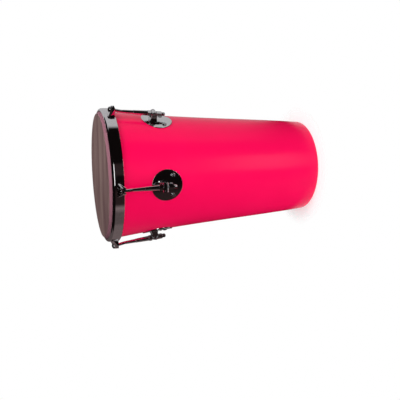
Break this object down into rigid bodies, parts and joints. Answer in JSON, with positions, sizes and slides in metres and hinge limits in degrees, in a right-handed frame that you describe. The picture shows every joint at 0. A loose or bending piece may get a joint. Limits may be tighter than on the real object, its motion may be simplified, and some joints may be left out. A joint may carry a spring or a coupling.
{
  "type": "rebolo hand drum",
  "caption": "Tapered single-headed hand drum, open at its small end, with a tall rolled hoop and headed tension rods that swivel in clevis brackets on round lug plates.",
  "frame": {"origin": "centre of the head's playing surface", "axes": "+Z out of the head along the drum's axis, so the drum stands on its small open end at z = -0.510; tension unit 1 is at -Y and the units follow every 72 degrees"},
  "size_m": [0.3296, 0.3269, 0.51],
  "materials": {
    "shell_pink": "glossy neon pink laminate over the wooden shell",
    "head_film": "matte brown-grey napa-faced drum skin",
    "flesh_hoop_alloy": "plain rolled channel",
    "chrome": "polished chrome plate on steel",
    "zinc_plate": "bright zinc plate"
  },
  "bodies": {
    "drum_shell": {"shell": "shell_pink", "lug_plate_1": "chrome", "lug_plate_2": "chrome", "lug_plate_3": "chrome", "lug_plate_4": "chrome", "lug_plate_5": "chrome", "lug_bracket_1": "chrome", "lug_bracket_2": "chrome", "lug_bracket_3": "chrome", "lug_bracket_4": "chrome", "lug_bracket_5": "chrome", "lug_screw_1_left": "zinc_plate", "lug_screw_1_right": "zinc_plate", "lug_screw_2_left": "zinc_plate", "lug_screw_2_right": "zinc_plate", "lug_screw_3_left": "zinc_plate", "lug_screw_3_right": "zinc_plate", "lug_screw_4_left": "zinc_plate", "lug_screw_4_right": "zinc_plate", "lug_screw_5_left": "zinc_plate", "lug_screw_5_right": "zinc_plate", "back_nut_1_left": "zinc_plate", "back_nut_1_right": "zinc_plate", "back_nut_2_left": "zinc_plate", "back_nut_2_right": "zinc_plate", "back_nut_3_left": "zinc_plate", "back_nut_3_right": "zinc_plate", "back_nut_4_left": "zinc_plate", "back_nut_4_right": "zinc_plate", "back_nut_5_left": "zinc_plate", "back_nut_5_right": "zinc_plate"},
    "hoop_and_head": {"counter_hoop": "chrome", "drum_head": "head_film", "flesh_hoop": "flesh_hoop_alloy", "hoop_ear_1": "chrome", "hoop_ear_2": "chrome", "hoop_ear_3": "chrome", "hoop_ear_4": "chrome", "hoop_ear_5": "chrome"},
    "barrel_1": {"swivel_barrel_1": "chrome"},
    "barrel_2": {"swivel_barrel_2": "chrome"},
    "barrel_3": {"swivel_barrel_3": "chrome"},
    "barrel_4": {"swivel_barrel_4": "chrome"},
    "barrel_5": {"swivel_barrel_5": "chrome"},
    "rod_1": {"tension_rod_1": "chrome"},
    "rod_2": {"tension_rod_2": "chrome"},
    "rod_3": {"tension_rod_3": "chrome"},
    "rod_4": {"tension_rod_4": "chrome"},
    "rod_5": {"tension_rod_5": "chrome"},
    "nut_1": {"tuning_nut_1": "chrome"},
    "nut_2": {"tuning_nut_2": "chrome"},
    "nut_3": {"tuning_nut_3": "chrome"},
    "nut_4": {"tuning_nut_4": "chrome"},
    "nut_5": {"tuning_nut_5": "chrome"}
  },
  "joints": [
    {"name": "hoop_lift", "type": "slide", "parent": "drum_shell", "child": "hoop_and_head", "axis": [0, 0, 1], "range_m": [0, 0.008]},
    {"name": "rod_swing_1", "type": "hinge", "parent": "drum_shell", "child": "barrel_1", "pos_m": [0, -0.15339, -0.119], "axis": [1, 0, 0], "range_deg": [0, 22]},
    {"name": "rod_swing_2", "type": "hinge", "parent": "drum_shell", "child": "barrel_2", "pos_m": [0.14588, -0.0474, -0.119], "axis": [0.309, 0.9511, 0], "range_deg": [0, 22]},
    {"name": "rod_swing_3", "type": "hinge", "parent": "drum_shell", "child": "barrel_3", "pos_m": [0.09016, 0.12409, -0.119], "axis": [-0.809, 0.5878, 0], "range_deg": [0, 22]},
    {"name": "rod_swing_4", "type": "hinge", "parent": "drum_shell", "child": "barrel_4", "pos_m": [-0.09016, 0.12409, -0.119], "axis": [-0.809, -0.5878, 0], "range_deg": [0, 22]},
    {"name": "rod_swing_5", "type": "hinge", "parent": "drum_shell", "child": "barrel_5", "pos_m": [-0.14588, -0.0474, -0.119], "axis": [0.309, -0.9511, 0], "range_deg": [0, 22]},
    {"name": "rod_slide_1", "type": "slide", "parent": "barrel_1", "child": "rod_1", "axis": [0, -0.093, 0.9957], "range_m": [0, 0.008]},
    {"name": "rod_slide_2", "type": "slide", "parent": "barrel_2", "child": "rod_2", "axis": [0.0885, -0.0287, 0.9957], "range_m": [0, 0.008]},
    {"name": "rod_slide_3", "type": "slide", "parent": "barrel_3", "child": "rod_3", "axis": [0.0547, 0.0753, 0.9957], "range_m": [0, 0.008]},
    {"name": "rod_slide_4", "type": "slide", "parent": "barrel_4", "child": "rod_4", "axis": [-0.0547, 0.0753, 0.9957], "range_m": [0, 0.008]},
    {"name": "rod_slide_5", "type": "slide", "parent": "barrel_5", "child": "rod_5", "axis": [-0.0885, -0.0287, 0.9957], "range_m": [0, 0.008]},
    {"name": "nut_turn_1", "type": "hinge", "parent": "barrel_1", "child": "nut_1", "pos_m": [0, -0.15339, -0.119], "axis": [0, -0.093, 0.9957], "range_deg": [-2840, 0]},
    {"name": "nut_turn_2", "type": "hinge", "parent": "barrel_2", "child": "nut_2", "pos_m": [0.14588, -0.0474, -0.119], "axis": [0.0885, -0.0287, 0.9957], "range_deg": [-2840, 0]},
    {"name": "nut_turn_3", "type": "hinge", "parent": "barrel_3", "child": "nut_3", "pos_m": [0.09016, 0.12409, -0.119], "axis": [0.0547, 0.0753, 0.9957], "range_deg": [-2840, 0]},
    {"name": "nut_turn_4", "type": "hinge", "parent": "barrel_4", "child": "nut_4", "pos_m": [-0.09016, 0.12409, -0.119], "axis": [-0.0547, 0.0753, 0.9957], "range_deg": [-2840, 0]},
    {"name": "nut_turn_5", "type": "hinge", "parent": "barrel_5", "child": "nut_5", "pos_m": [-0.14588, -0.0474, -0.119], "axis": [-0.0885, -0.0287, 0.9957], "range_deg": [-2840, 0]}
  ],
  "couplings": [
    {"joint": "rod_slide_1", "follows": "hoop_lift", "ratio": 0.9856},
    {"joint": "rod_slide_2", "follows": "hoop_lift", "ratio": 0.9856},
    {"joint": "rod_slide_3", "follows": "hoop_lift", "ratio": 0.9856},
    {"joint": "rod_slide_4", "follows": "hoop_lift", "ratio": 0.9856},
    {"joint": "rod_slide_5", "follows": "hoop_lift", "ratio": 0.9856},
    {"joint": "nut_turn_1", "follows": "hoop_lift", "rad_per_m": -6192.4},
    {"joint": "nut_turn_2", "follows": "hoop_lift", "rad_per_m": -6192.4},
    {"joint": "nut_turn_3", "follows": "hoop_lift", "rad_per_m": -6192.4},
    {"joint": "nut_turn_4", "follows": "hoop_lift", "rad_per_m": -6192.4},
    {"joint": "nut_turn_5", "follows": "hoop_lift", "rad_per_m": -6192.4}
  ]
}
